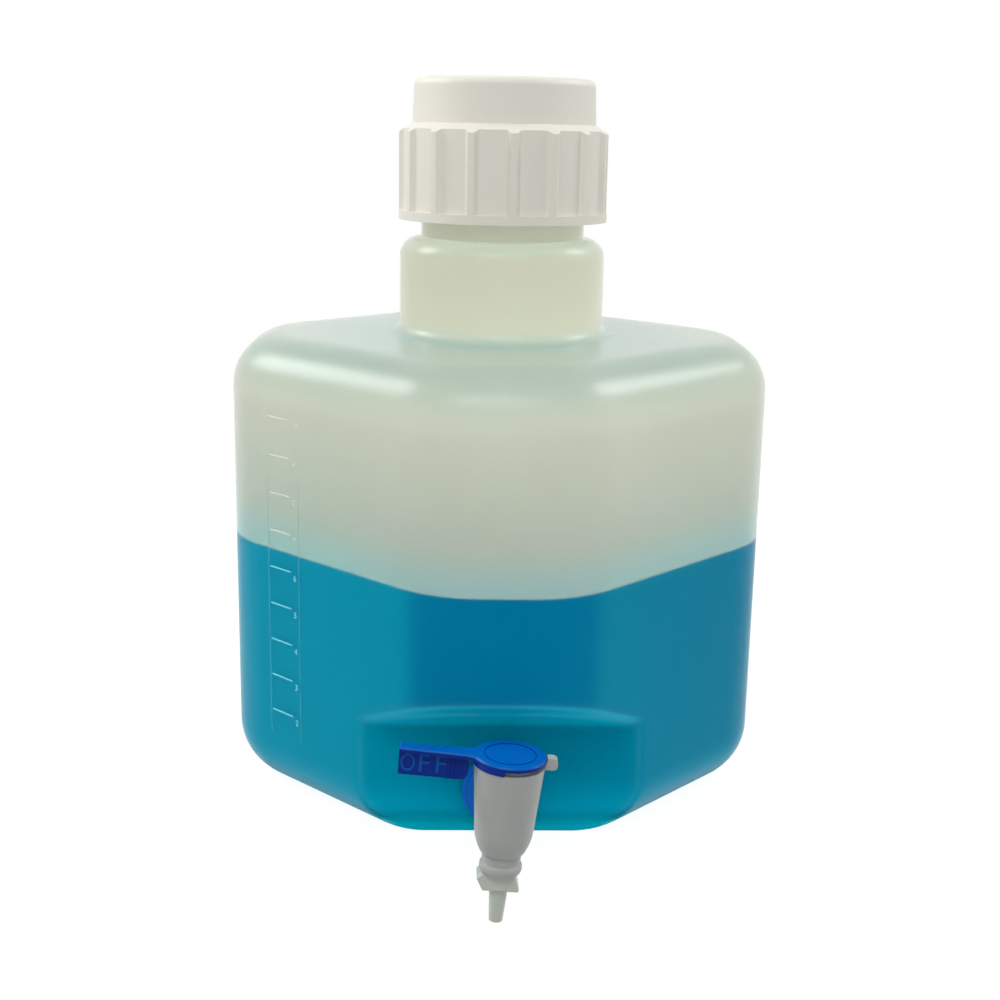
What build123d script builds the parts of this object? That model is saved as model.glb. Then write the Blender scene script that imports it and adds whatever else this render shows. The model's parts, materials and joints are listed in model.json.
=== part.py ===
# Carboy with a drain tap: a ten litre blow-moulded bottle, its screw cap, and a lever tap in a recess
# at the foot of one cut corner. Millimetres. The origin is the middle of the base, +Z is up, and the
# tap stands out towards -Y.
from build123d import *
from math import asin, cos, degrees, radians, sin, sqrt, tan
import os

os.makedirs("parts", exist_ok=True)

# Bottle body: a square in plan with its corners cut, one cut corner facing -Y
body_width = 241.0
corner_width = 66.4
upright_round = 53.5
body_height = 235.9
shoulder_round = 26.0
base_round = 28.5
dish_radius = 76.0
dish_depth = 3.0
wall = 2.5

# Recess for the tap at the foot of the front corner
recess_depth = 36.0
recess_height = 57.4
recess_slope = 29.5
recess_edge_round = 7.0
recess_corner_round = 4.0

# Neck: a wide bulge under the plain finish that carries the thread
bulge_radius = 52.5
bulge_height = 49.1
bulge_round = 10.0
neck_foot_round = 7.0
finish_radius = 41.6
finish_height = 70.8
finish_foot_round = 1.5
rim_round = 1.0

# Screw thread of the neck and cap, single start, right-handed
thread_pitch = 8.0
thread_depth = 4.4
thread_flank = 20.0
thread_start = 14.4
neck_thread_turns = 2.0
cap_thread_turns = 1.25
thread_side_gap = 0.35
thread_crest_gap = 0.6
thread_root = 0.8
thread_angle = 40.0

# Screw cap and its gasket
cap_overlap = 62.4
skirt_radius = 53.1
skirt_height = 43.1
skirt_band = 4.5
flute_depth = 2.3
flute_corner_round = 0.7
rib_count = 16
rib_width = 3.2
rib_flank = 35.0
rib_turn = 3.3
shoulder_rise = 4.4
dome_radius = 46.3
dome_side_gap = 1.1
dome_draft = 0.8
dome_round = 4.0
cap_top_wall = 4.2
gasket_thickness = 3.0
gasket_width = 7.0
gasket_side_gap = 0.3

# Tap: heights are measured up the barrel's axis from the shank's axis
tap_reach = 53.8
tap_height = 26.7
tap_lean = 3.7
barrel_top = 35.6
barrel_top_radius = 16.1
barrel_waist = 3.7
barrel_waist_radius = 13.5
barrel_foot = -6.7
barrel_step = 1.2
outlet_radius = 9.1
outlet_waist_radius = 8.9
outlet_bulge_radius = 9.9
outlet_length = 10.5
outlet_bore = 6.5
seat_top_radius = 12.0
seat_foot_radius = 8.6
seat_foot = -5.2
lip_height = 2.1
lip_wall = 1.7
port_radius = 4.2
stop_reach = 21.5
stop_width = 4.6
stop_depth = 3.4
stop_rise = 2.2
stop_round = 2.0

# Shank, and the collar, seals and nut that clamp it to the bottle
shank_radius = 8.0
shank_shoulder_radius = 9.0
shank_gap = 0.1
shank_spare = 3.0
wall_hole_gap = 0.5
seal_thickness = 3.0
outer_seal_radius = 17.0
inner_seal_radius = 15.0
collar_radius = 18.5
collar_thickness = 3.6
collar_step_radius = 15.8
collar_step = 1.4
collar_edge_round = 0.8
nut_across_flats = 27.0
nut_thickness = 8.0
nut_chamfer = 1.2

# Key: the plug, its head and the lever arm
plug_gap = 0.05
plug_foot_gap = 0.2
plug_bore = 6.2
plug_bore_height = 28.0
head_radius = 16.5
head_plate = 2.2
head_lift = 0.1
head_edge_bevel = 0.7
head_ring_radius = 12.0
head_ring_width = 0.6
head_ring_depth = 0.4
head_skirt_gap = 0.2
stop_gap = 0.3
lever_turn = 90.0
arm_reach = 49.7
arm_rise = 1.1
arm_end_width = 7.0
arm_root_width = 10.5
arm_flare = 7.0
web_start = 18.4
web_depth = 11.2
web_thickness = 2.6
web_corner_round = 3.5
web_rib_count = 3
web_rib_inset = 5.4
web_rib_spacing = 1.7
web_rib_width = 0.8
web_rib_height = 0.5

# Nozzle pushed up into the outlet
nozzle_plug_length = 9.0
nozzle_plug_gap = 0.05
nozzle_plug_wall = 1.6
grip_height = 7.8
grip_thickness = 11.0
grip_left = 10.8
grip_left_top = 8.6
grip_left_drop = 2.0
grip_left_foot = 7.8
grip_right = 9.3
grip_right_top = 6.7
grip_right_bend = 8.4
grip_right_drop = 4.3
grip_edge_round = 0.8
tip_root_radius = 4.4
tip_end_radius = 3.2
tip_length = 17.0
tip_bore = 1.9

# Filling
fill_height = 132.9
fill_gap = 0.3

# Sizes and places that follow from the ones above
slope_rise = tan(radians(recess_slope))
across_corners = body_width * sqrt(2) - corner_width
recess_wall = across_corners / 2 - recess_depth
bulge_top = body_height + bulge_height
rim = bulge_top + finish_height
cap_foot = rim - cap_overlap
cap_ceiling = rim + gasket_thickness
thread_space = thread_depth + thread_crest_gap
flank_spread = 2 * tan(radians(thread_flank))
ridge_base = (thread_pitch + flank_spread * thread_space) / 2 - thread_side_gap
ridge_crest = ridge_base - flank_spread * thread_depth
skirt_bore = finish_radius + thread_space
dome_bore = finish_radius + dome_side_gap
rib_root = rib_width + 3 * flute_depth * tan(radians(rib_flank))
outlet_end = barrel_foot - outlet_length
lip_top = barrel_top + lip_height
lip_radius = seat_top_radius + lip_wall
plate_foot = lip_top + head_lift
seat_taper = (seat_top_radius - seat_foot_radius) / (lip_top - seat_foot)
collar_front = tap_reach - seal_thickness - collar_thickness - collar_step
inner_face = tap_reach + wall
nut_foot = inner_face + seal_thickness
shank_end = nut_foot + nut_thickness + shank_spare
shank_bore = shank_radius + shank_gap
hardware_radius = max(inner_seal_radius, nut_across_flats / sqrt(3)) + fill_gap

# The tap's own frame: x to the right, y into the bottle, z up the leaning barrel
lean = radians(tap_lean)
tap_middle = Vector(0, -recess_wall - tap_reach, tap_height)
tap_up = Plane(origin=tap_middle, x_dir=(cos(lean), 0, -sin(lean)), z_dir=(sin(lean), 0, cos(lean)))
tap_side = Plane(origin=tap_middle, x_dir=tap_up.x_dir, z_dir=(0, -1, 0))
tap_back = Plane(origin=tap_middle, x_dir=tap_up.x_dir, z_dir=(0, 1, 0))
tap_axis = Axis(tap_middle, tap_up.z_dir)
port_side = Plane(origin=tap_middle, x_dir=(0, 1, 0), z_dir=tap_up.x_dir)


def near(shape, others):
    """Whether shape lies at the middle of one of the other edges."""
    return any((shape.center() - other.center()).length < 0.01 for other in others)


def vessel(inset, top):
    """The bottle's outer form with every face moved inwards by inset and its neck ending at top."""
    recess_y = recess_wall - inset
    ceiling = recess_height + inset * sqrt(1 + slope_rise**2)
    beyond = across_corners / 2
    with BuildPart() as form:
        with BuildSketch(Plane.XY.offset(inset)) as plan:
            Rectangle(body_width - 2 * inset, body_width - 2 * inset, rotation=45)
            Rectangle(across_corners - 2 * inset, across_corners - 2 * inset, mode=Mode.INTERSECT)
            fillet(plan.vertices(), upright_round - inset)
        extrude(amount=body_height - 2 * inset)
        fillet(form.faces().sort_by(Axis.Z)[-1].edges(), shoulder_round - inset)
        fillet(form.faces().sort_by(Axis.Z)[0].edges(), base_round - inset)

        # The tap's recess: an upright wall with a ceiling that climbs outwards
        with BuildSketch(Plane.YZ):
            with BuildLine():
                Polyline(
                    (-recess_y, -beyond),
                    (-recess_y, ceiling),
                    (-recess_y - beyond, ceiling + slope_rise * beyond),
                    (-recess_y - beyond, -beyond),
                    close=True,
                )
            make_face()
        extrude(amount=across_corners, both=True, mode=Mode.SUBTRACT)
        flats = form.faces().filter_by(GeomType.PLANE)
        back = flats.filter_by(lambda f: abs(f.center().Y + recess_y) < 0.01)[0]
        roof = flats.filter_by(lambda f: f.normal_at().Z < -0.1 and f.normal_at().Y < -0.1)[0]
        corner = back.edges().filter_by(lambda e: near(e, roof.edges()))
        edges = back.edges() + roof.edges()
        fillet(edges.filter_by(lambda e: not near(e, corner)), recess_edge_round - inset)
        corner = form.edges().filter_by(Axis.X).filter_by(
            lambda e: abs(e.center().Y + recess_y) < 0.1 and abs(e.center().Z - ceiling) < 0.1
        )
        fillet(corner, recess_corner_round + inset)

        # The dished base
        with BuildSketch(Plane.XY.offset(inset)):
            Circle(dish_radius + inset)
        extrude(amount=dish_depth, taper=45, mode=Mode.SUBTRACT)

        # The neck
        with BuildSketch(Plane.XZ) as half:
            with BuildLine():
                Polyline(
                    (0, body_height - shoulder_round),
                    (bulge_radius - inset, body_height - shoulder_round),
                    (bulge_radius - inset, bulge_top - inset),
                    (finish_radius - inset, bulge_top - inset),
                    (finish_radius - inset, top),
                    (0, top),
                    close=True,
                )
            make_face()
            bend = half.vertices().group_by(Axis.Y)[1].sort_by(Axis.X)
            fillet(bend[-1], bulge_round - inset)
            fillet(bend[0], finish_foot_round + inset)
        revolve(axis=Axis.Z)
        foot = form.edges().filter_by(GeomType.CIRCLE).filter_by(
            lambda e: abs(e.center().Z - body_height + inset) < 0.01 and e.radius < bulge_radius + 0.01
        )
        fillet(foot, neck_foot_round + inset)
    return form.part


def thread_ridge(root_radius, outward, start, turns):
    """A helical ridge of trapezoid section. It stands outward (1) or inward (-1) from root_radius."""
    root_half = (ridge_base + flank_spread * thread_root) / 2
    with BuildPart() as ridge:
        with BuildLine() as route:
            Helix(thread_pitch, thread_pitch * turns, root_radius, center=(0, 0, start))
        path = route.edges()[0]
        with BuildSketch(Plane(origin=path @ 0, x_dir=(outward, 0, 0), z_dir=path % 0)):
            with BuildLine():
                Polyline(
                    (-thread_root, -root_half),
                    (thread_depth, -ridge_crest / 2),
                    (thread_depth, ridge_crest / 2),
                    (-thread_root, root_half),
                    close=True,
                )
            make_face()
        sweep(path=path, is_frenet=True)
    return ridge.part.rotate(Axis.Z, thread_angle)


thread_foot = bulge_top + thread_start
outer_form = vessel(0, rim)
inner_form = vessel(wall, rim + wall)
fill_form = vessel(wall + fill_gap, rim)
neck_thread = thread_ridge(finish_radius, 1, thread_foot, neck_thread_turns)
cap_thread = thread_ridge(skirt_bore, -1, thread_foot + thread_pitch / 2, cap_thread_turns)

# Bottle, blow-moulded in one piece
with BuildPart() as bottle:
    add(outer_form)
    add(neck_thread)
    add(inner_form, mode=Mode.SUBTRACT)
    mouth = bottle.faces().sort_by(Axis.Z)[-1]
    fillet(mouth.edges(), rim_round)
    with BuildSketch(tap_back.offset(tap_reach - wall)):
        Circle(shank_radius + wall_hole_gap)
    extrude(amount=3 * wall, mode=Mode.SUBTRACT)
bottle.part.label = "bottle"
export_step(bottle.part, "parts/bottle.step")

# Filling, up to the line in the photo and clear of the walls and the tap's nut
with BuildPart() as liquid:
    add(fill_form)
    split(bisect_by=Plane.XY.offset(fill_height), keep=Keep.BOTTOM)
    with BuildSketch(tap_back.offset(tap_reach)):
        Circle(hardware_radius)
    extrude(amount=shank_end - tap_reach + fill_gap, mode=Mode.SUBTRACT)
liquid.part.label = "liquid"
export_step(liquid.part, "parts/liquid.step")

# Screw cap: a plain dome over the mouth and a fluted skirt over the thread
with BuildPart() as screw_cap:
    with BuildSketch(Plane.XZ) as cap_half:
        with BuildLine():
            Polyline(
                (0, cap_ceiling + cap_top_wall),
                (dome_radius - dome_draft, cap_ceiling + cap_top_wall),
                (dome_radius, cap_foot + skirt_height + shoulder_rise),
                (skirt_radius, cap_foot + skirt_height),
                (skirt_radius, cap_foot),
                (skirt_bore, cap_foot),
                (skirt_bore, cap_foot + skirt_height - shoulder_rise),
                (dome_bore, cap_foot + skirt_height),
                (dome_bore, cap_ceiling),
                (0, cap_ceiling),
                close=True,
            )
        make_face()
        crown = cap_half.vertices().group_by(Axis.Y)[-1].sort_by(Axis.X)[-1]
        fillet(crown, dome_round)
    revolve(axis=Axis.Z)
    with BuildSketch(Plane.XY.offset(cap_foot + skirt_band)) as flutes:
        Circle(2 * skirt_radius)
        Circle(skirt_radius - flute_depth, mode=Mode.SUBTRACT)
        with PolarLocations(skirt_radius - flute_depth / 2, rib_count, start_angle=rib_turn - 90):
            Trapezoid(rib_root, 2 * flute_depth, 90 - rib_flank, rotation=-90, mode=Mode.SUBTRACT)
        floor_corners = flutes.vertices().filter_by(
            lambda v: abs(v.center().length - skirt_radius + flute_depth) < 0.01
        )
        fillet(floor_corners, flute_corner_round)
    extrude(amount=skirt_height + shoulder_rise, mode=Mode.SUBTRACT)
    add(cap_thread)
screw_cap.part.label = "screw_cap"
export_step(screw_cap.part, "parts/screw_cap.step")

# Flat seal between the rim and the cap's ceiling
with BuildPart() as cap_gasket:
    with BuildSketch(Plane.XY.offset(rim)):
        Circle(dome_bore - gasket_side_gap)
        Circle(dome_bore - gasket_side_gap - gasket_width, mode=Mode.SUBTRACT)
    extrude(amount=gasket_thickness)
cap_gasket.part.label = "cap_gasket"
export_step(cap_gasket.part, "parts/cap_gasket.step")

# Tap body: barrel with its tapered seat, outlet, shank and the stop for the lever
with BuildPart() as tap_body:
    with BuildSketch(tap_side):
        with BuildLine():
            Polyline(
                (0, lip_top),
                (lip_radius, lip_top),
                (lip_radius, barrel_top),
                (barrel_top_radius, barrel_top),
                (barrel_waist_radius, barrel_waist),
            )
            TangentArc(
                (barrel_waist_radius, barrel_waist),
                (outlet_radius + barrel_step, barrel_foot),
                tangent=(barrel_waist_radius - barrel_top_radius, barrel_waist - barrel_top),
            )
            Polyline(
                (outlet_radius + barrel_step, barrel_foot),
                (outlet_radius, barrel_foot),
                (outlet_waist_radius, barrel_foot - outlet_length / 2),
            )
            ThreePointArc(
                (outlet_waist_radius, barrel_foot - outlet_length / 2),
                (outlet_bulge_radius, outlet_end + outlet_length / 4),
                (outlet_waist_radius, outlet_end),
            )
            Polyline((outlet_waist_radius, outlet_end), (0, outlet_end), (0, lip_top))
        make_face()
    revolve(axis=tap_axis)
    with BuildSketch(tap_back):
        Circle(shank_shoulder_radius)
    extrude(amount=collar_front)
    with BuildSketch(tap_back.offset(collar_front)):
        Circle(shank_radius)
    extrude(amount=shank_end - collar_front)
    with BuildSketch(tap_side) as stop_outline:
        with Locations((stop_reach, lip_top + stop_rise)):
            Rectangle(stop_reach, stop_rise + stop_depth, align=(Align.MAX, Align.MAX))
        fillet(stop_outline.vertices().group_by(Axis.X)[-1], stop_round)
    extrude(amount=stop_width / 2, both=True)
    with BuildSketch(tap_up.offset(lip_top)):
        Circle(head_radius + stop_gap)
    extrude(amount=stop_rise, mode=Mode.SUBTRACT)
    with BuildSketch(tap_side):
        with BuildLine():
            Polyline(
                (0, lip_top),
                (seat_top_radius, lip_top),
                (seat_foot_radius, seat_foot),
                (outlet_bore, seat_foot),
                (outlet_bore, outlet_end),
                (0, outlet_end),
                close=True,
            )
        make_face()
    revolve(axis=tap_axis, mode=Mode.SUBTRACT)
    with BuildSketch(tap_back):
        Circle(port_radius)
    extrude(amount=shank_end, mode=Mode.SUBTRACT)
tap_body.part.label = "tap_body"
export_step(tap_body.part, "parts/tap_body.step")

# Lever arm: a plate that widens towards the head and climbs a little outwards, over an upright web
with BuildPart() as arm:
    with BuildSketch(tap_up.offset(plate_foot)) as arm_plan:
        with BuildLine():
            Polyline(
                (0, -arm_root_width / 2),
                (0, arm_root_width / 2),
                (-arm_reach, arm_end_width / 2),
                (-arm_reach, -arm_end_width / 2),
                close=True,
            )
        make_face()
        Circle(head_radius)
        fillet(arm_plan.vertices().sort_by(Axis.X)[2:], arm_flare)
    extrude(amount=head_plate + arm_rise)
    climb = arm_rise / (arm_reach - head_radius)
    with BuildSketch(tap_side) as arm_profile:
        with BuildLine():
            Polyline(
                (-arm_reach, plate_foot + arm_rise),
                (-arm_reach, plate_foot + arm_rise + head_plate),
                (-head_radius, plate_foot + head_plate),
                (head_radius, plate_foot + head_plate),
                (head_radius, plate_foot),
                (-head_radius, plate_foot),
                close=True,
            )
        make_face()
    extrude(amount=head_radius, both=True, mode=Mode.INTERSECT)
    tops = arm.faces().filter_by(lambda f: f.normal_at().Z > 0.9)
    fold = tops[0].edges().filter_by(lambda e: near(e, tops[1].edges()))
    chamfer(tops.edges().filter_by(lambda e: not near(e, fold)), head_edge_bevel)
    with BuildSketch(tap_side.offset(-web_thickness / 2)) as web:
        with BuildLine():
            Polyline(
                (-arm_reach, plate_foot + arm_rise),
                (-web_start, plate_foot + climb * (web_start - head_radius)),
                (-web_start, plate_foot + climb * (web_start - head_radius) - web_depth),
                (-arm_reach, plate_foot + arm_rise - web_depth),
                close=True,
            )
        make_face()
        fillet(web.vertices().group_by(Axis.X)[-1].sort_by(Axis.Y)[0], web_corner_round)
    extrude(amount=web_thickness)
    rib_x = -web_start - web_rib_inset
    with BuildSketch(tap_side.offset(-web_thickness / 2 - web_rib_height)):
        for rib in range(web_rib_count):
            x = rib_x - rib * web_rib_spacing
            top = plate_foot - climb * (x + head_radius)
            with Locations((x, top - web_depth / 2)):
                Rectangle(web_rib_width, web_depth)
    extrude(amount=web_thickness + 2 * web_rib_height)

# Key: lever, head and hollow tapered plug in one piece. The port faces right while the tap is off
with BuildPart() as tap_key:
    add(arm.part)
    with BuildSketch(tap_up.offset(barrel_top + head_lift)) as skirt:
        Circle(head_radius)
        Circle(lip_radius + head_skirt_gap, mode=Mode.SUBTRACT)
        notch_half = degrees(asin((stop_width / 2 + stop_gap) / lip_radius))
        with BuildLine():
            CenterArc((0, 0), 2 * head_radius, notch_half, -lever_turn - 2 * notch_half)
            Line((0, 0), PolarLine((0, 0), 2 * head_radius, notch_half) @ 1)
            Line((0, 0), PolarLine((0, 0), 2 * head_radius, -lever_turn - notch_half) @ 1)
        make_face(mode=Mode.SUBTRACT)
    extrude(amount=lip_height)
    with BuildSketch(tap_side):
        with BuildLine():
            Polyline(
                (0, plate_foot),
                (seat_top_radius + seat_taper * head_lift - plug_gap, plate_foot),
                (seat_foot_radius + seat_taper * plug_foot_gap - plug_gap, seat_foot + plug_foot_gap),
                (0, seat_foot + plug_foot_gap),
                close=True,
            )
        make_face()
    revolve(axis=tap_axis)
    with BuildSketch(tap_up.offset(seat_foot)):
        Circle(plug_bore)
    extrude(amount=plug_bore_height - seat_foot, mode=Mode.SUBTRACT)
    with BuildSketch(port_side):
        Circle(port_radius)
    extrude(amount=seat_top_radius, mode=Mode.SUBTRACT)
    with BuildSketch(tap_up.offset(plate_foot + head_plate)):
        Circle(head_ring_radius)
        Circle(head_ring_radius - head_ring_width, mode=Mode.SUBTRACT)
    extrude(amount=-head_ring_depth, mode=Mode.SUBTRACT)
tap_key.part.label = "tap_key"
export_step(tap_key.part, "parts/tap_key.step")

# Stepped collar that the shank's shoulder drives against the outer seal
with BuildPart() as clamp_collar:
    with BuildSketch(tap_back.offset(collar_front)):
        Circle(collar_step_radius)
    extrude(amount=collar_step)
    with BuildSketch(tap_back.offset(collar_front + collar_step)):
        Circle(collar_radius)
    extrude(amount=collar_thickness)
    rounds = clamp_collar.edges().filter_by(GeomType.CIRCLE)
    fillet(rounds.filter_by(lambda e: e.radius > collar_step_radius + 0.01), collar_edge_round)
    fillet(clamp_collar.edges().filter_by(GeomType.CIRCLE).sort_by(Axis.Y)[0], collar_edge_round)
    with BuildSketch(tap_back.offset(collar_front)):
        Circle(shank_bore)
    extrude(amount=collar_step + collar_thickness, mode=Mode.SUBTRACT)
clamp_collar.part.label = "clamp_collar"
export_step(clamp_collar.part, "parts/clamp_collar.step")

# Soft seals on both faces of the bottle's wall
with BuildPart() as outer_seal:
    with BuildSketch(tap_back.offset(tap_reach - seal_thickness)):
        Circle(outer_seal_radius)
        Circle(shank_bore, mode=Mode.SUBTRACT)
    extrude(amount=seal_thickness)
outer_seal.part.label = "outer_seal"
export_step(outer_seal.part, "parts/outer_seal.step")

with BuildPart() as inner_seal:
    with BuildSketch(tap_back.offset(inner_face)):
        Circle(inner_seal_radius)
        Circle(shank_bore, mode=Mode.SUBTRACT)
    extrude(amount=seal_thickness)
inner_seal.part.label = "inner_seal"
export_step(inner_seal.part, "parts/inner_seal.step")

# Hexagon nut on the shank inside the bottle
with BuildPart() as lock_nut:
    with BuildSketch(tap_back.offset(nut_foot)):
        RegularPolygon(nut_across_flats / 2, 6, major_radius=False)
    extrude(amount=nut_thickness)
    chamfer(lock_nut.faces().sort_by(Axis.Y)[-1].edges(), nut_chamfer)
    with BuildSketch(tap_back.offset(nut_foot)):
        Circle(shank_bore)
    extrude(amount=nut_thickness, mode=Mode.SUBTRACT)
lock_nut.part.label = "lock_nut"
export_step(lock_nut.part, "parts/lock_nut.step")

# Nozzle: a hollow plug, a winged grip and a tapered tip
grip_foot = outlet_end - grip_height
with BuildPart() as nozzle:
    with BuildSketch(tap_side.offset(-grip_thickness / 2)) as wings:
        with BuildLine():
            Polyline(
                (-grip_left_top, outlet_end),
                (-grip_left, outlet_end - grip_left_drop),
                (-grip_left_foot, grip_foot),
                (grip_right, grip_foot),
                (grip_right_bend, outlet_end - grip_right_drop),
                (grip_right_top, outlet_end),
                close=True,
            )
        make_face()
    extrude(amount=grip_thickness)
    fillet(nozzle.edges().filter_by(lambda e: e.length < grip_thickness + 0.01), grip_edge_round)
    with BuildSketch(tap_side):
        with BuildLine():
            Polyline(
                (0, outlet_end + nozzle_plug_length),
                (outlet_bore - nozzle_plug_gap, outlet_end + nozzle_plug_length),
                (outlet_bore - nozzle_plug_gap, grip_foot + grip_edge_round),
                (tip_root_radius, grip_foot + grip_edge_round),
                (tip_root_radius, grip_foot),
                (tip_end_radius, grip_foot - tip_length),
                (0, grip_foot - tip_length),
                close=True,
            )
        make_face()
    revolve(axis=tap_axis)
    with BuildSketch(tap_side):
        with BuildLine():
            funnel = outlet_bore - nozzle_plug_gap - nozzle_plug_wall
            Polyline(
                (0, outlet_end + nozzle_plug_length),
                (funnel, outlet_end + nozzle_plug_length),
                (funnel, outlet_end),
                (tip_bore, grip_foot),
                (tip_bore, grip_foot - tip_length),
                (0, grip_foot - tip_length),
                close=True,
            )
        make_face()
    revolve(axis=tap_axis, mode=Mode.SUBTRACT)
nozzle.part.label = "nozzle"
export_step(nozzle.part, "parts/nozzle.step")
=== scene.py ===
import json
import math

import bmesh
import bpy
from mathutils import Matrix, Vector


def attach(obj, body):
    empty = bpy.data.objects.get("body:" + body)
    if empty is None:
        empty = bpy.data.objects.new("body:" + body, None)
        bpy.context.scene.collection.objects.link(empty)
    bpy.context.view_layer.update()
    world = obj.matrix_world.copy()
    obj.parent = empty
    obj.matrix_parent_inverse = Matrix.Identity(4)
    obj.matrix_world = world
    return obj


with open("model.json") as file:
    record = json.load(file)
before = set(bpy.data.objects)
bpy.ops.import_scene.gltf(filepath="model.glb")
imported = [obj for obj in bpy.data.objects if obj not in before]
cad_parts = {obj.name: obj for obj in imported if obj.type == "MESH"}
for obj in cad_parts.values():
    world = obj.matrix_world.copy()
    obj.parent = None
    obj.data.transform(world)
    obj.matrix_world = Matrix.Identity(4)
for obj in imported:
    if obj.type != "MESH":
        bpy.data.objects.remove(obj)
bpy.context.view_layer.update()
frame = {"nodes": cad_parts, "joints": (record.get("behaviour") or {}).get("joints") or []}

# Camera: a normal lens, 78 cm before the bottle's axis and 34 cm above the bench, a little left of the tap
# and tipped down. The picture is turned about a degree, so the carboy's right side sits lower.
mm = 0.001
camera_place = Vector((-26.7, -775.5, 336.4)) * mm
camera_turn = math.radians(2.07)
camera_dip = math.radians(13.82)
camera_roll = math.radians(1.08)
camera_lens = 53.67
sensor = 36.0

level_right = Vector((math.cos(camera_turn), -math.sin(camera_turn), 0))
ahead = Vector(
    (
        math.sin(camera_turn) * math.cos(camera_dip),
        math.cos(camera_turn) * math.cos(camera_dip),
        -math.sin(camera_dip),
    )
)
level_up = level_right.cross(ahead)
right = level_right * math.cos(camera_roll) + level_up * math.sin(camera_roll)
up = right.cross(ahead)
lens = bpy.data.cameras.new("camera")
lens.sensor_width = sensor
lens.lens = camera_lens
camera = bpy.data.objects.new("camera", lens)
camera.matrix_world = Matrix.Translation(camera_place) @ Matrix((right, up, -ahead)).transposed().to_4x4()
bpy.context.scene.collection.objects.link(camera)
bpy.context.scene.camera = camera
bpy.context.scene.view_settings.view_transform = "Standard"


# Bench and studio: a pale laminate bench whose front edge lies just behind the tap, so that its nozzle
# hangs free, in a white room with softboxes overhead, in front and behind each shoulder.
def linear(hex_colour):
    """The linear colour, with alpha, of an sRGB hex value."""
    shares = [int(hex_colour[i : i + 2], 16) / 255 for i in (1, 3, 5)]
    return [s / 12.92 if s <= 0.04045 else ((s + 0.055) / 1.055) ** 2.4 for s in shares] + [1.0]


def add(tree, kind, inputs=None, **settings):
    """Adds one node. Each input is a value, or the output of another node that feeds it."""
    node = tree.nodes.new(kind)
    for name, value in settings.items():
        setattr(node, name, value)
    for socket, value in (inputs or {}).items():
        if isinstance(value, bpy.types.NodeSocket):
            tree.links.new(value, node.inputs[socket])
        else:
            node.inputs[socket].default_value = value
    return node


def new_material(name):
    """An empty node material."""
    material = bpy.data.materials.new(name)
    material.use_nodes = True
    material.node_tree.nodes.clear()
    return material


def looked_at(tree):
    """One for a ray from the eye, a mirror or clear plastic, and nothing for one that lights the object."""
    rays = add(tree, "ShaderNodeLightPath")
    share = rays.outputs["Is Camera Ray"]
    for kind in ("Is Glossy Ray", "Is Transmission Ray"):
        either = add(tree, "ShaderNodeMath", {0: share, 1: rays.outputs[kind]}, operation="MAXIMUM")
        share = either.outputs[0]
    return share


def new_piece(name, mesh_maker, material):
    """A mesh object at the origin, made from a bmesh that already stands in its place."""
    mesh = bpy.data.meshes.new(name)
    mesh_maker.to_mesh(mesh)
    mesh_maker.free()
    mesh.materials.append(material)
    piece = bpy.data.objects.new(name, mesh)
    bpy.context.scene.collection.objects.link(piece)
    return piece


bench_front = -138.5 * mm
bench_depth = 1.6
bench_width = 2.4
bench_height = 0.7
bench_edge = 3 * mm
bench_white = "#e9e9e6"
bench_speckle = 4 * mm
bench_tone_low = 1.09
bench_tone_high = 1.12

# How far the bench glows by itself: where it lights the object, and where it is looked at
bench_glow = 0.3
bench_whiteness = 0.86

room_white = "#f4f6f8"
room_light = 0.47

laminate = new_material("pale_laminate")
tree = laminate.node_tree
coords = add(tree, "ShaderNodeTexCoord")
speckle = add(tree, "ShaderNodeTexNoise", {"Vector": coords.outputs["Object"], "Scale": 1 / bench_speckle})
tone = add(
    tree,
    "ShaderNodeMapRange",
    {0: speckle.outputs["Fac"], "To Min": bench_tone_low, "To Max": bench_tone_high},
)
board = add(tree, "ShaderNodeBsdfDiffuse", {"Color": linear(bench_white)})
white = add(tree, "ShaderNodeEmission", {"Strength": tone.outputs["Result"]})
share = add(
    tree, "ShaderNodeMapRange", {0: looked_at(tree), "To Min": bench_glow, "To Max": bench_whiteness}
)
mixed = add(
    tree, "ShaderNodeMixShader", {0: share.outputs["Result"], 1: board.outputs[0], 2: white.outputs[0]}
)
add(tree, "ShaderNodeOutputMaterial", {"Surface": mixed.outputs[0]})

slab = bmesh.new()
bmesh.ops.create_cube(slab, size=1)
bmesh.ops.scale(slab, vec=(bench_width, bench_depth, bench_height), verts=slab.verts)
bmesh.ops.translate(slab, vec=(0, bench_front + bench_depth / 2, -bench_height / 2), verts=slab.verts)
bmesh.ops.bevel(
    slab, geom=slab.edges[:], offset=bench_edge, affect="EDGES", segments=3, profile=0.5, material=-1
)
bench = new_piece("bench", slab, laminate)

room = bpy.data.worlds.new("white_room")
bpy.context.scene.world = room
room.use_nodes = True
tree = room.node_tree
tree.nodes.clear()
walls = add(tree, "ShaderNodeBackground", {"Color": linear(room_white), "Strength": room_light})
seen_walls = add(tree, "ShaderNodeBackground", {"Color": (1, 1, 1, 1), "Strength": 1})
mixed = add(
    tree, "ShaderNodeMixShader", {0: looked_at(tree), 1: walls.outputs[0], 2: seen_walls.outputs[0]}
)
add(tree, "ShaderNodeOutputWorld", {"Surface": mixed.outputs[0]})


def softbox(name, place, aim, width, height, power):
    """A rectangular lamp at a place, turned to an aim point. Metres and watts."""
    lamp = bpy.data.lights.new(name, "AREA")
    lamp.shape = "RECTANGLE"
    lamp.size = width
    lamp.size_y = height
    lamp.energy = power
    box = bpy.data.objects.new(name, lamp)
    box.location = place
    box.rotation_euler = (Vector(aim) - Vector(place)).to_track_quat("-Z", "Y").to_euler()
    bpy.context.scene.collection.objects.link(box)


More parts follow.
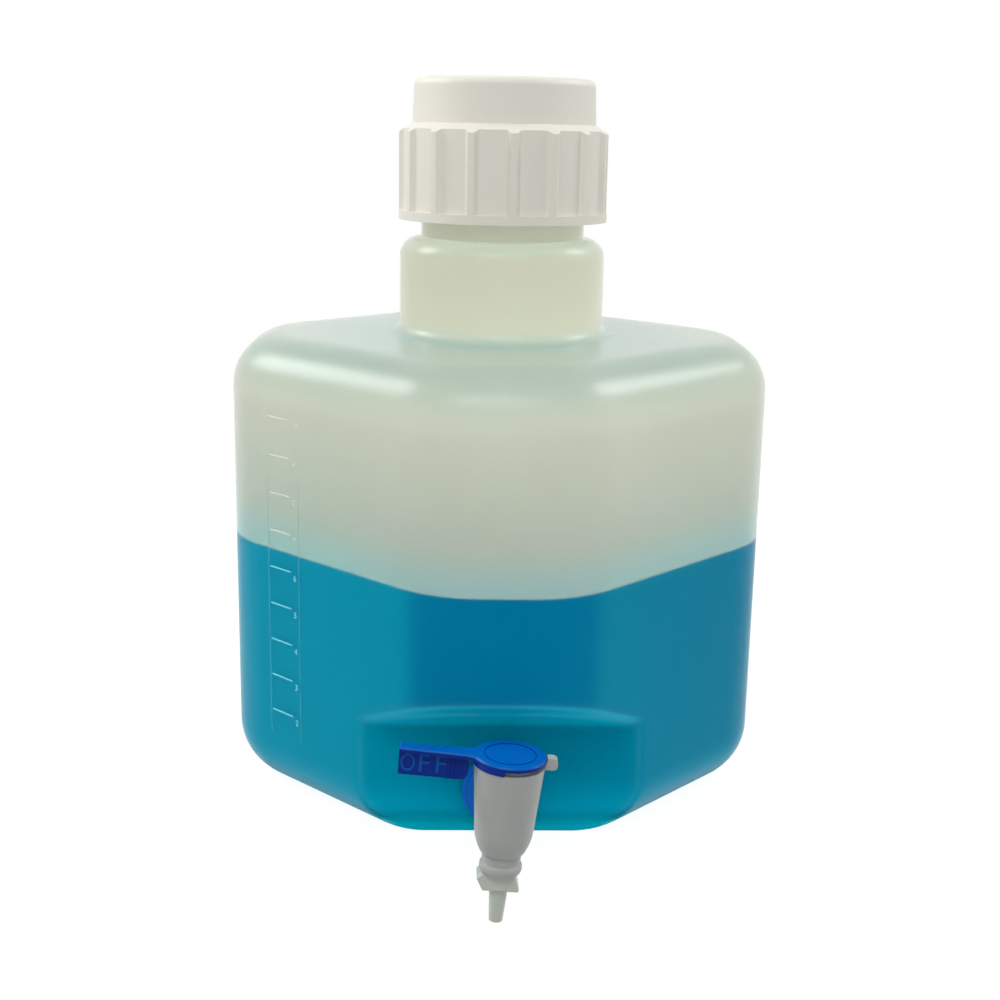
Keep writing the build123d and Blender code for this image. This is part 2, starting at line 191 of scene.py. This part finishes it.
carboy_middle = (0, 0, 0.18)
neck_middle = (0, 0, 0.3)
softbox("overhead_softbox", (0, -0.1, 1.3), carboy_middle, 0.9, 0.6, 1.0)
softbox("left_softbox", (-1.0, 0.3, 0.9), carboy_middle, 0.45, 0.45, 6.5)
softbox("right_softbox", (1.0, 0.25, 1.0), carboy_middle, 0.45, 0.45, 5.5)
softbox("front_softbox", (-0.15, -0.75, 1.0), neck_middle, 0.6, 0.4, 4.0)


# Bottle: one blow-moulded piece of natural polypropylene, 2.5 mm thick, with its tap recess and neck.
# Its wall is milky: it lets light through without a clear view. The halves of the mould left a faint seam
# on the middle plane, and the parison left slow waves.
wall_tint = "#e7e5df"
wall_tint_thick = "#e2e1d8"
thickness_wave = 70 * mm

# The neck is more yellow than the body
neck_tint = "#fbf9ef"
neck_foot = 203 * mm
neck_rise = 24 * mm

# Painted light: the wall is painted blue up to the liquid's line, with a painted blue glow faintly above
# it. The painted blue is paler on the recess's ceiling, as painted light from above, and deeper at the
# foot.
wall_painted_liquid_light = "#c6edf3"
wall_painted_blue_reflection = "#0a92a8"
wall_painted_ceiling_light = "#e4f8fa"
wall_painted_foot_blue = "#2c9ab2"
foot_height = 5 * mm
ceiling_foot = 40 * mm
overhang_least = -0.2
overhang_full = -0.7
liquid_line_blur = 0.5 * mm
glow_height = 26 * mm
glow_share = 0.5
liquid_top = max(v.co.z for v in frame["nodes"]["liquid"].data.vertices)

# The foot is matt and mirrors nothing; its bright cyan is painted light from the liquid
foot_painted_light = "#00bcd4"
dull_foot_height = 4 * mm
dull_foot_fade = 10 * mm

# A milky wall bends and mirrors light less than clear plastic does. Above the liquid line a coat adds a
# painted shine; below it the reflection is painted blue.
wall_roughness = 0.3
wall_ior = 1.14
painted_shine_ior = 1.28

surface_wave = 28 * mm
surface_wave_depth = 0.25 * mm
peel = 1.3 * mm
peel_depth = 0.012 * mm
seam_half_width = 0.35 * mm
seam_height = 0.05 * mm


def on_ceiling(tree, coords, axes):
    """One on the recess's ceiling, which faces down above the base, and nothing elsewhere."""
    facing = add(tree, "ShaderNodeSeparateXYZ", {0: coords.outputs["Normal"]})
    down = add(
        tree,
        "ShaderNodeMapRange",
        {0: facing.outputs["Z"], "From Min": overhang_least, "From Max": overhang_full},
        interpolation_type="SMOOTHSTEP",
    )
    high = add(tree, "ShaderNodeMath", {0: axes.outputs["Z"], 1: ceiling_foot}, operation="GREATER_THAN")
    both = add(tree, "ShaderNodeMath", {0: down.outputs["Result"], 1: high.outputs[0]}, operation="MULTIPLY")
    return both.outputs[0]


blown_polypropylene = new_material("blow_moulded_natural_polypropylene")
tree = blown_polypropylene.node_tree
coords = add(tree, "ShaderNodeTexCoord")
place = coords.outputs["Object"]
thickness = add(tree, "ShaderNodeTexNoise", {"Vector": place, "Scale": 1 / thickness_wave, "Detail": 1})
tint = add(
    tree,
    "ShaderNodeMix",
    {0: thickness.outputs["Fac"], 6: linear(wall_tint_thick), 7: linear(wall_tint)},
    data_type="RGBA",
)
axes = add(tree, "ShaderNodeSeparateXYZ", {0: place})
up_neck = add(
    tree,
    "ShaderNodeMapRange",
    {0: axes.outputs["Z"], "From Min": neck_foot, "From Max": neck_foot + neck_rise},
    interpolation_type="SMOOTHSTEP",
)
by_part = add(
    tree,
    "ShaderNodeMix",
    {0: up_neck.outputs["Result"], 6: tint.outputs[2], 7: linear(neck_tint)},
    data_type="RGBA",
)
below_line = add(
    tree,
    "ShaderNodeMapRange",
    {
        0: axes.outputs["Z"],
        "From Min": liquid_top - liquid_line_blur,
        "From Max": liquid_top + liquid_line_blur,
        "To Min": 1,
        "To Max": 0,
    },
)
# Painted glow: blue light from the liquid, fading out above its line
glow = add(
    tree,
    "ShaderNodeMapRange",
    {
        0: axes.outputs["Z"],
        "From Min": liquid_top,
        "From Max": liquid_top + glow_height,
        "To Min": glow_share,
        "To Max": 0,
    },
    interpolation_type="SMOOTHSTEP",
)
# Where the wall is painted blue: below the liquid line, and the painted glow above it
painted_liquid_light_share = add(
    tree, "ShaderNodeMath", {0: below_line.outputs["Result"], 1: glow.outputs["Result"]}, operation="MAXIMUM"
)
up_foot = add(
    tree,
    "ShaderNodeMapRange",
    {0: axes.outputs["Z"], "From Max": foot_height},
    interpolation_type="SMOOTHSTEP",
)
# Painted blue light from the liquid: deeper at the foot of the wall
painted_liquid_light = add(
    tree,
    "ShaderNodeMix",
    {0: up_foot.outputs["Result"], 6: linear(wall_painted_foot_blue), 7: linear(wall_painted_liquid_light)},
    data_type="RGBA",
)
# Painted light: the wall's blue is paler on the recess's ceiling, lit from above
painted_liquid_light = add(
    tree,
    "ShaderNodeMix",
    {0: on_ceiling(tree, coords, axes), 6: painted_liquid_light.outputs[2], 7: linear(wall_painted_ceiling_light)},
    data_type="RGBA",
)
wall_colour = add(
    tree,
    "ShaderNodeMix",
    {0: painted_liquid_light_share.outputs[0], 6: by_part.outputs[2], 7: painted_liquid_light.outputs[2]},
    data_type="RGBA",
)
# Painted reflection: the wall's reflection is tinted blue below the liquid line
painted_reflection_colour = add(
    tree,
    "ShaderNodeMix",
    {0: below_line.outputs["Result"], 6: linear("#ffffff"), 7: linear(wall_painted_blue_reflection)},
    data_type="RGBA",
)
waves = add(tree, "ShaderNodeTexNoise", {"Vector": place, "Scale": 1 / surface_wave, "Detail": 1})
wave_bump = add(
    tree, "ShaderNodeBump", {"Height": waves.outputs["Fac"], "Distance": surface_wave_depth, "Strength": 1}
)
orange_peel = add(tree, "ShaderNodeTexNoise", {"Vector": place, "Scale": 1 / peel, "Detail": 2})
peel_bump = add(
    tree,
    "ShaderNodeBump",
    {
        "Height": orange_peel.outputs["Fac"],
        "Distance": peel_depth,
        "Strength": 1,
        "Normal": wave_bump.outputs["Normal"],
    },
)
from_seam = add(tree, "ShaderNodeMath", {0: axes.outputs["X"]}, operation="ABSOLUTE")
seam = add(
    tree,
    "ShaderNodeMapRange",
    {0: from_seam.outputs[0], "From Max": seam_half_width, "To Min": 1, "To Max": 0},
    interpolation_type="SMOOTHSTEP",
)
seam_bump = add(
    tree,
    "ShaderNodeBump",
    {
        "Height": seam.outputs["Result"],
        "Distance": seam_height,
        "Strength": 1,
        "Normal": peel_bump.outputs["Normal"],
    },
)
# Painted shine: the coat covers the wall only above the liquid line
above_line = add(tree, "ShaderNodeMath", {0: 1.0, 1: below_line.outputs["Result"]}, operation="SUBTRACT")
skin = add(
    tree,
    "ShaderNodeBsdfPrincipled",
    {
        "Base Color": wall_colour.outputs[2],
        "Roughness": wall_roughness,
        "IOR": wall_ior,
        "Coat Weight": above_line.outputs[0],
        "Coat Roughness": wall_roughness,
        "Coat IOR": painted_shine_ior,
        "Transmission Weight": 1.0,
        "Specular Tint": painted_reflection_colour.outputs[2],
        "Normal": seam_bump.outputs["Normal"],
    },
)
milk = add(tree, "ShaderNodeBsdfTranslucent", {"Color": wall_colour.outputs[2]})
wall_side = add(tree, "ShaderNodeNewGeometry")
surface = add(
    tree,
    "ShaderNodeMixShader",
    {0: wall_side.outputs["Backfacing"], 1: skin.outputs[0], 2: milk.outputs[0]},
)
# Painted light: a matt cyan foot in place of the wall's shine
dull_foot = add(tree, "ShaderNodeBsdfDiffuse", {"Color": linear(foot_painted_light)})
dullness = add(
    tree,
    "ShaderNodeMapRange",
    {
        0: axes.outputs["Z"],
        "From Min": dull_foot_height,
        "From Max": dull_foot_height + dull_foot_fade,
        "To Min": 1,
        "To Max": 0,
    },
    interpolation_type="SMOOTHSTEP",
)
surface = add(
    tree,
    "ShaderNodeMixShader",
    {0: dullness.outputs["Result"], 1: surface.outputs[0], 2: dull_foot.outputs[0]},
)
add(tree, "ShaderNodeOutputMaterial", {"Surface": surface.outputs[0]})


def finish_node(node, material):
    """Gives a CAD node its finish in place of the plain one that it was packed with."""
    mesh = frame["nodes"][node].data
    mesh.materials.clear()
    mesh.materials.append(material)


finish_node("bottle", blown_polypropylene)


# Litre marks: low ridges and numerals raised from the mould on the left of the two front faces,
# between two fine upright lines. They are the bottle's own plastic, but their colour is a painted
# highlight: white above the liquid line, and painted pale blue light in front of the liquid.
face_distance = 120.5 * mm
face_normal = Vector((-1, -1, 0)).normalized()
face_right = Vector((1, -1, 0)).normalized()
marks_centre = -34 * mm
mark_length = 15.5 * mm
mark_width = 0.6 * mm
mark_height = 0.45 * mm
mark_edge = 0.12 * mm
first_mark = 10.0 * mm
litre_step = 19.03 * mm
litres = range(2, 11)
line_left = -43.2 * mm
line_right = -19.9 * mm
line_width = 0.5 * mm
line_height = 0.1 * mm
line_foot = 36 * mm
line_top = 170 * mm
ridge_painted_highlight = "#eceee2"
ridge_painted_highlight_drift = "#d4d8cc"
ridge_painted_blue_light = "#7cdcf0"
ridge_flow = 6 * mm
ridge_roughness = 0.25
ridge_ior = 1.49
numeral_height = 3.0 * mm
numeral_gap = 2.2 * mm
numeral_drop = 1.2 * mm
numeral_raise = 0.2 * mm

# Height of a capital, as a share of the font's size
capital_share = 0.7

on_face = Matrix((face_right, Vector((0, 0, 1)), face_normal)).transposed().to_4x4()
on_face.translation = face_normal * face_distance


def ridge(target, centre, size, edge):
    """Adds one bevelled bar to a bmesh, half of it sunk below the surface it stands on."""
    bar = bmesh.ops.create_cube(target, size=1)["verts"]
    bmesh.ops.scale(target, vec=size, verts=bar)
    bmesh.ops.translate(target, vec=centre, verts=bar)
    edges = list({e for v in bar for e in v.link_edges})
    bmesh.ops.bevel(
        target, geom=edges, offset=edge, affect="EDGES", segments=2, profile=0.5, material=-1
    )


def raised_text(target, words, height, raise_by, place):
    """Adds raised lettering to a bmesh. Its baseline starts at the origin of the matrix it is placed by."""
    curve = bpy.data.curves.new(words, "FONT")
    curve.body = words
    curve.size = height / capital_share
    curve.extrude = raise_by
    curve.bevel_depth = raise_by / 4
    curve.bevel_resolution = 1
    curve.resolution_u = 4
    text = bpy.data.objects.new(words, curve)
    bpy.context.scene.collection.objects.link(text)
    mesh = bpy.data.meshes.new_from_object(text.evaluated_get(bpy.context.evaluated_depsgraph_get()))
    mesh.transform(place)
    target.from_mesh(mesh)
    bpy.data.objects.remove(text)
    bpy.data.curves.remove(curve)
    bpy.data.meshes.remove(mesh)


# Painted highlight: the ridges are white, and pale blue below the liquid line
painted_highlight_ridge = new_material("polypropylene_ridge_painted_highlight")
tree = painted_highlight_ridge.node_tree
coords = add(tree, "ShaderNodeTexCoord")
flow = add(tree, "ShaderNodeTexNoise", {"Vector": coords.outputs["Object"], "Scale": 1 / ridge_flow})
colour = add(
    tree,
    "ShaderNodeMix",
    {0: flow.outputs["Fac"], 6: linear(ridge_painted_highlight_drift), 7: linear(ridge_painted_highlight)},
    data_type="RGBA",
)
axes = add(tree, "ShaderNodeSeparateXYZ", {0: coords.outputs["Object"]})
below_line = add(tree, "ShaderNodeMath", {0: axes.outputs["Z"], 1: liquid_top}, operation="LESS_THAN")
colour = add(
    tree,
    "ShaderNodeMix",
    {0: below_line.outputs[0], 6: colour.outputs[2], 7: linear(ridge_painted_blue_light)},
    data_type="RGBA",
)
surface = add(
    tree,
    "ShaderNodeBsdfPrincipled",
    {"Base Color": colour.outputs[2], "Roughness": ridge_roughness, "IOR": ridge_ior},
)
add(tree, "ShaderNodeOutputMaterial", {"Surface": surface.outputs[0]})

marks = bmesh.new()
for litre in litres:
    centre = (marks_centre, first_mark + litre * litre_step, 0)
    ridge(marks, centre, (mark_length, mark_width, 2 * mark_height), mark_edge)
bmesh.ops.transform(marks, matrix=on_face, verts=marks.verts)

scale_lines = bmesh.new()
for side in (line_left, line_right):
    centre = (side, (line_foot + line_top) / 2, 0)
    ridge(scale_lines, centre, (line_width, line_top - line_foot, 2 * line_height), line_height / 3)
bmesh.ops.transform(scale_lines, matrix=on_face, verts=scale_lines.verts)

numerals = bmesh.new()
for litre in litres:
    spot = Vector(
        (
            marks_centre + mark_length / 2 + numeral_gap,
            first_mark + litre * litre_step - numeral_drop - numeral_height,
            0,
        )
    )
    raised_text(numerals, str(litre), numeral_height, numeral_raise, on_face @ Matrix.Translation(spot))
bmesh.ops.remove_doubles(numerals, verts=numerals.verts, dist=0.001 * mm)

for name, mesh_maker, material in (
    ("litre_marks", marks, painted_highlight_ridge),
    ("litre_numerals", numerals, painted_highlight_ridge),
    ("scale_lines", scale_lines, blown_polypropylene),
):
    piece = new_piece(name, mesh_maker, material)
    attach(piece, "carboy")


# Liquid: a little over six litres of water with a blue dye. It wets the wall, so there is no
# shine between them. Painted shade makes it darker where the eye looks through its whole width, from
# the front cut corner to the back one, and painted light makes it lighter on the left, near the foot and
# over the recess, where more light gets in.
dye_colour = "#00a6b6"
dye_deep_cloud_and_painted_shade = "#008aa2"
dye_corner_painted_shade = "#0084a4"
dye_foot_painted_light = "#00bcd0"
corner_half_width = 43 * mm
corner_edge = 5 * mm
corner_foot = 76 * mm
foot_light_height = 34 * mm
dye_cloud = 90 * mm
dye_cloud_share = 0.25
painted_light_reach = 110 * mm
water_roughness = 0.3
water_ior = 1.33
dye_ceiling_painted_light = "#00b8d0"

dyed_water = new_material("blue_dyed_water")
tree = dyed_water.node_tree
coords = add(tree, "ShaderNodeTexCoord")
cloud = add(
    tree,
    "ShaderNodeTexNoise",
    {"Vector": coords.outputs["Object"], "Scale": 1 / dye_cloud, "Detail": 1},
)
axes = add(tree, "ShaderNodeSeparateXYZ", {0: coords.outputs["Object"]})
# Painted light from the left: lighter on the left and darker on the right, mixed with a slow cloud of tone
leftwards = add(
    tree,
    "ShaderNodeMapRange",
    {0: axes.outputs["X"], "From Min": -painted_light_reach, "From Max": painted_light_reach, "To Min": 1, "To Max": 0},
)
painted_light_and_cloud = add(
    tree,
    "ShaderNodeMix",
    {0: dye_cloud_share, 2: leftwards.outputs["Result"], 3: cloud.outputs["Fac"]},
)
colour = add(
    tree,
    "ShaderNodeMix",
    {0: painted_light_and_cloud.outputs[0], 6: linear(dye_deep_cloud_and_painted_shade), 7: linear(dye_colour)},
    data_type="RGBA",
)
from_middle = add(tree, "ShaderNodeMath", {0: axes.outputs["X"]}, operation="ABSOLUTE")
# Painted shade: a darker patch on the front cut corner, above the recess
by_corner = add(
    tree,
    "ShaderNodeMapRange",
    {
        0: from_middle.outputs[0],
        "From Min": corner_half_width - corner_edge,
        "From Max": corner_half_width + corner_edge,
        "To Min": 1,
        "To Max": 0,
    },
    interpolation_type="SMOOTHSTEP",
)
by_height = add(
    tree,
    "ShaderNodeMapRange",
    {
        0: axes.outputs["Z"],
        "From Min": corner_foot - corner_edge,
        "From Max": corner_foot + corner_edge,
    },
    interpolation_type="SMOOTHSTEP",
)
in_front = add(tree, "ShaderNodeMath", {0: axes.outputs["Y"], 1: 0.0}, operation="LESS_THAN")
upper = add(
    tree, "ShaderNodeMath", {0: in_front.outputs[0], 1: by_height.outputs[0]}, operation="MULTIPLY"
)
in_patch = add(
    tree, "ShaderNodeMath", {0: by_corner.outputs[0], 1: upper.outputs[0]}, operation="MULTIPLY"
)
shaded = add(
    tree,
    "ShaderNodeMix",
    {0: in_patch.outputs[0], 6: colour.outputs[2], 7: linear(dye_corner_painted_shade)},
    data_type="RGBA",
)
# Painted light: the liquid is lighter near the foot
near_foot = add(
    tree,
    "ShaderNodeMapRange",
    {0: axes.outputs["Z"], "From Max": foot_light_height, "To Min": 1, "To Max": 0},
    interpolation_type="SMOOTHSTEP",
)
lit = add(
    tree,
    "ShaderNodeMix",
    {0: near_foot.outputs[0], 6: shaded.outputs[2], 7: linear(dye_foot_painted_light)},
    data_type="RGBA",
)
# Painted light: the liquid is lighter on the recess's ceiling
over_recess = add(
    tree,
    "ShaderNodeMix",
    {0: on_ceiling(tree, coords, axes), 6: lit.outputs[2], 7: linear(dye_ceiling_painted_light)},
    data_type="RGBA",
)
surface = add(
    tree,
    "ShaderNodeBsdfPrincipled",
    {
        "Base Color": over_recess.outputs[2],
        "Roughness": water_roughness,
        "IOR": water_ior,
        "Specular IOR Level": 0.0,
    },
)
add(tree, "ShaderNodeOutputMaterial", {"Surface": surface.outputs[0]})
finish_node("liquid", dyed_water)


# Seals: two soft washers that clamp the bottle's wall, one on each side, and the flat ring in the cap.
# They are punched from white silicone sheet, matt with a fine skin.
roughness_spread = 0.06

# Height of the normal where a face counts as upright, and where it counts as level
steep = 0.35
level = 0.75


def moulded(name, colour, shade, roughness, grain, grain_depth, flow=25 * mm, upright=None, **extra):
    """A plastic with a grained skin: a slow drift between two colours, and a bump of the grain's size.
    Upright faces can be given a painted shade: a darker colour, for the light they miss."""
    material = new_material(name)
    tree = material.node_tree
    coords = add(tree, "ShaderNodeTexCoord")
    place = coords.outputs["Object"]
    drift = add(tree, "ShaderNodeTexNoise", {"Vector": place, "Scale": 1 / flow, "Detail": 2})
    skin = add(tree, "ShaderNodeTexNoise", {"Vector": place, "Scale": 1 / grain, "Detail": 2})
    colours = add(
        tree,
        "ShaderNodeMix",
        {0: drift.outputs["Fac"], 6: linear(shade), 7: linear(colour)},
        data_type="RGBA",
    )
    if upright:
        facing = add(tree, "ShaderNodeSeparateXYZ", {0: coords.outputs["Normal"]})
        levelness = add(
            tree,
            "ShaderNodeMapRange",
            {0: facing.outputs["Z"], "From Min": steep, "From Max": level},
            interpolation_type="SMOOTHSTEP",
        )
        colours = add(
            tree,
            "ShaderNodeMix",
            {0: levelness.outputs["Result"], 6: linear(upright), 7: colours.outputs[2]},
            data_type="RGBA",
        )
    smoothest = roughness - roughness_spread
    roughest = roughness + roughness_spread
    rough = add(
        tree, "ShaderNodeMapRange", {0: skin.outputs["Fac"], "To Min": smoothest, "To Max": roughest}
    )
    bump = add(
        tree, "ShaderNodeBump", {"Height": skin.outputs["Fac"], "Distance": grain_depth, "Strength": 1}
    )
    inputs = {
        "Base Color": colours.outputs[2],
        "Roughness": rough.outputs["Result"],
        "Normal": bump.outputs["Normal"],
    }
    inputs.update(extra)
    surface = add(tree, "ShaderNodeBsdfPrincipled", inputs)
    add(tree, "ShaderNodeOutputMaterial", {"Surface": surface.outputs[0]})
    return material


silicone = moulded(
    "punched_white_silicone",
    colour="#d8d8d2",
    shade="#cfcfc8",
    roughness=0.6,
    grain=0.8 * mm,
    grain_depth=0.01 * mm,
)
for node in ("outer_seal", "inner_seal", "cap_gasket"):
    finish_node(node, silicone)


# Tap body and lock nut: injection-moulded in a white polypropylene, painted a little grey as shade. The
# skin is satin, and its tone drifts a little where the plastic flowed.
tap_white = moulded(
    "moulded_tap_white_polypropylene",
    colour="#b6b8b3",
    shade="#aaada9",
    roughness=0.42,
    grain=0.9 * mm,
    grain_depth=0.02 * mm,
    flow=12 * mm,
)
finish_node("tap_body", tap_white)
finish_node("lock_nut", tap_white)


# Nozzle: moulded in unpigmented polypropylene, so it is a little paler and greener than the barrel. Its
# skin is a little smoother too.
natural = moulded(
    "moulded_natural_polypropylene",
    colour="#d0d6ca",
    shade="#c6ccc0",
    roughness=0.38,
    grain=0.9 * mm,
    grain_depth=0.015 * mm,
    flow=9 * mm,
)
finish_node("nozzle", natural)


# Key and clamping collar: blue polypropylene, injection-moulded against a polished tool. The key's
# upright faces, such as its web, are painted a deeper blue as shade, because little light from above
# reaches them.
blue_grain = 1.1 * mm
low_shine = {"Specular IOR Level": 0.12}

tap_blue = moulded(
    "moulded_blue_polypropylene",
    colour="#0064be",
    shade="#005ab2",
    roughness=0.34,
    grain=blue_grain,
    grain_depth=0.012 * mm,
    flow=15 * mm,
    upright="#002e90",
    **low_shine,
)
finish_node("tap_key", tap_blue)
collar_blue = moulded(
    "moulded_blue_collar_polypropylene",
    colour="#0070d6",
    shade="#0068ca",
    roughness=0.34,
    grain=blue_grain,
    grain_depth=0.012 * mm,
    flow=15 * mm,
    **low_shine,
)
finish_node("clamp_collar", collar_blue)

tap_axis_foot = Vector(frame["joints"][0]["pos_m"])
tap_up = Vector(frame["joints"][0]["axis"])
tap_right = Vector((tap_up.z, 0, -tap_up.x))
web_front = 1.3 * mm

# Each letter on the web, with its left edge and the share of its usual width
letters = (("O", -49.3 * mm, 0.72), ("F", -41.4 * mm, 1.0), ("F", -33.8 * mm, 1.0))
word_foot = 29.4 * mm
word_height = 8.7 * mm
word_raise = 0.3 * mm

on_web = Matrix((tap_right, tap_up, Vector((0, -1, 0)))).transposed().to_4x4()
on_web.translation = tap_axis_foot + Vector((0, -web_front, 0))
word = bmesh.new()
for letter, left, stretch in letters:
    spot = Matrix.Translation((left, word_foot, 0)) @ Matrix.Diagonal((stretch, 1, 1, 1))
    raised_text(word, letter, word_height, word_raise, on_web @ spot)
bmesh.ops.remove_doubles(word, verts=word.verts, dist=0.001 * mm)
# Painted highlight: the letters are a lighter blue than the web, which has a painted shade
letters_painted_highlight = moulded(
    "blue_letters_painted_highlight",
    colour="#0458b4",
    shade="#0450aa",
    roughness=0.28,
    grain=blue_grain,
    grain_depth=0.01 * mm,
    **low_shine,
)
lettering = new_piece("lever_word", word, letters_painted_highlight)
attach(lettering, "tap_lever")


# Screw cap: injection-moulded in warm white polypropylene. Its dome and ribs have a fine matt grain from
# the etched tool.
cap_white = moulded(
    "moulded_white_polypropylene",
    colour="#e8e4d9",
    shade="#e3dfd3",
    roughness=0.5,
    grain=0.7 * mm,
    grain_depth=0.02 * mm,
    flow=40 * mm,
)
finish_node("screw_cap", cap_white)
